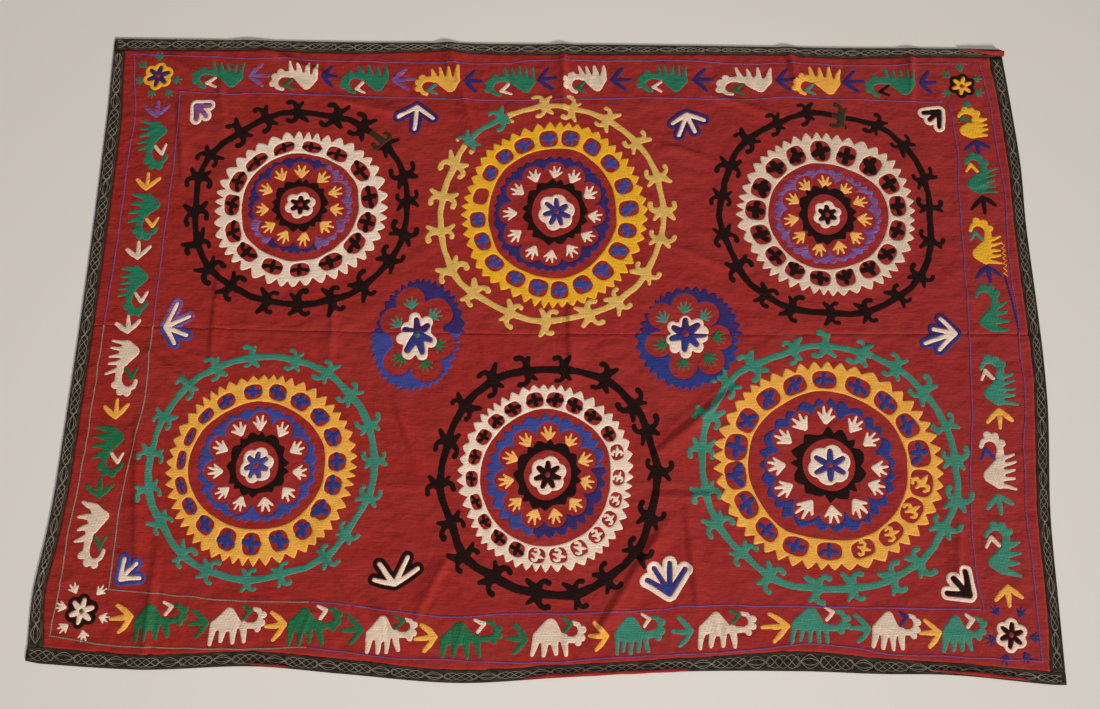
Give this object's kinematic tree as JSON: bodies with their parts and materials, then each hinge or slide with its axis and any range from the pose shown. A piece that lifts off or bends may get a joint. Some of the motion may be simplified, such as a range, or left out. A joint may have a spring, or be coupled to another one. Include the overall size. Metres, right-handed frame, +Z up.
{
  "type": "suzani embroidered textile",
  "caption": "Red cotton cloth with wheel medallions in laid embroidery and a dark woven edge band, lying face up with soft creases.",
  "frame": {"origin": "on the surface under the middle of the cloth's outline", "axes": "+X along the long side to the right as the cloth is seen from above, +Y across it to the far edge, +Z up out of the embroidered face"},
  "size_m": [1.5319, 1.0302, 0.0093],
  "materials": {
    "ground_cotton": "matte plain weave with laid embroidery",
    "trim_weave": "matte corded band",
    "facing_cotton": "matte plain weave"
  },
  "bodies": {
    "root": {"panel_upper": "ground_cotton", "panel_lower": "ground_cotton", "trim_top": "trim_weave", "trim_bottom": "trim_weave", "trim_left": "trim_weave", "trim_right": "trim_weave", "facing_roll_top_right": "facing_cotton", "facing_roll_bottom_left": "facing_cotton", "facing_roll_bottom_middle": "facing_cotton", "facing_roll_bottom_right": "facing_cotton"}
  },
  "joints": []
}
